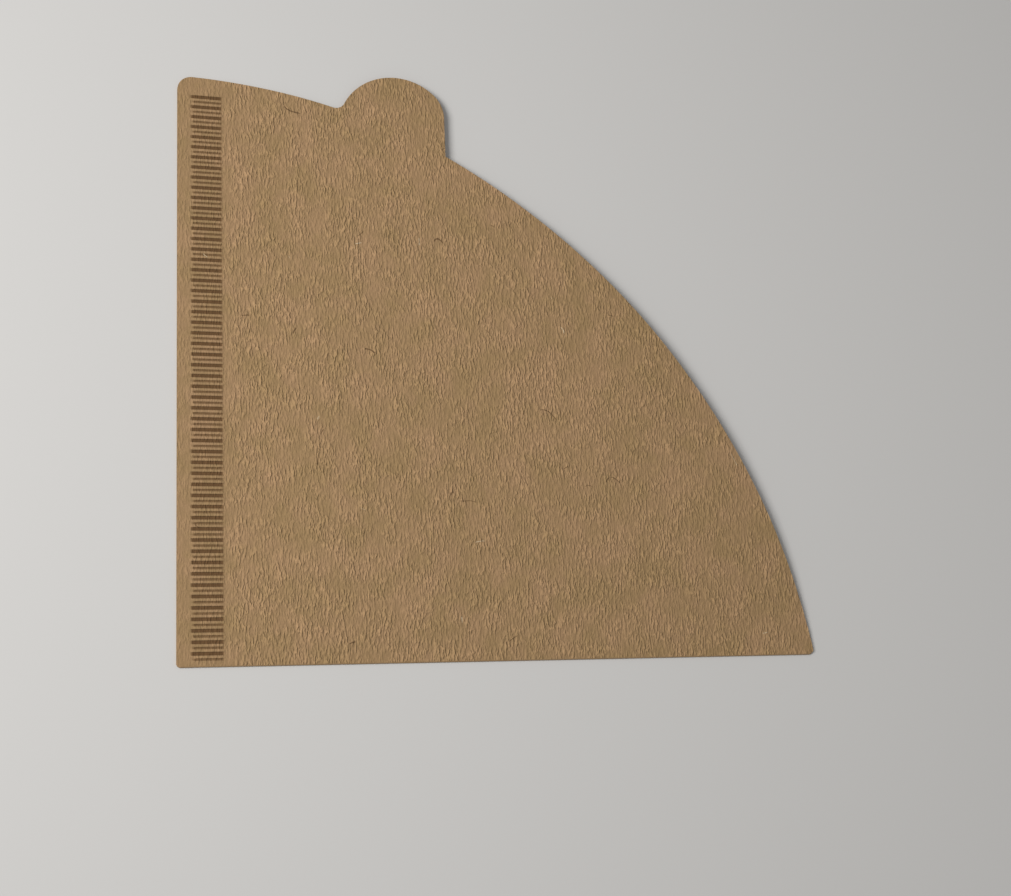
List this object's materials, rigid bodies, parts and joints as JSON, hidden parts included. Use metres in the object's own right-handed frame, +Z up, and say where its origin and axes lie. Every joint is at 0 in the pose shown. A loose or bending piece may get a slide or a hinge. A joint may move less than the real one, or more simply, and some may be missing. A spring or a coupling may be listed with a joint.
{
  "type": "paper coffee filter",
  "caption": "Cone-shaped filter of unbleached paper, folded flat, with a crimped side seam, an open mouth and a rounded pull tab on the rim; holds ground coffee in a cone dripper",
  "frame": {"origin": "middle of the outline's box, on the underside of the back leaf, which lies on Z = 0", "axes": "+X runs along the fold from the tip to the mouth, +Y runs up the crimped seam to the rim, +Z points up out of the front leaf"},
  "size_m": [0.1454, 0.1346, 0.0023],
  "materials": {
    "filter_paper": "creped unbleached filter paper, matt and fibrous, with a fine vertical crepe"
  },
  "bodies": {
    "root": {"filter_paper": "filter_paper"}
  },
  "joints": []
}
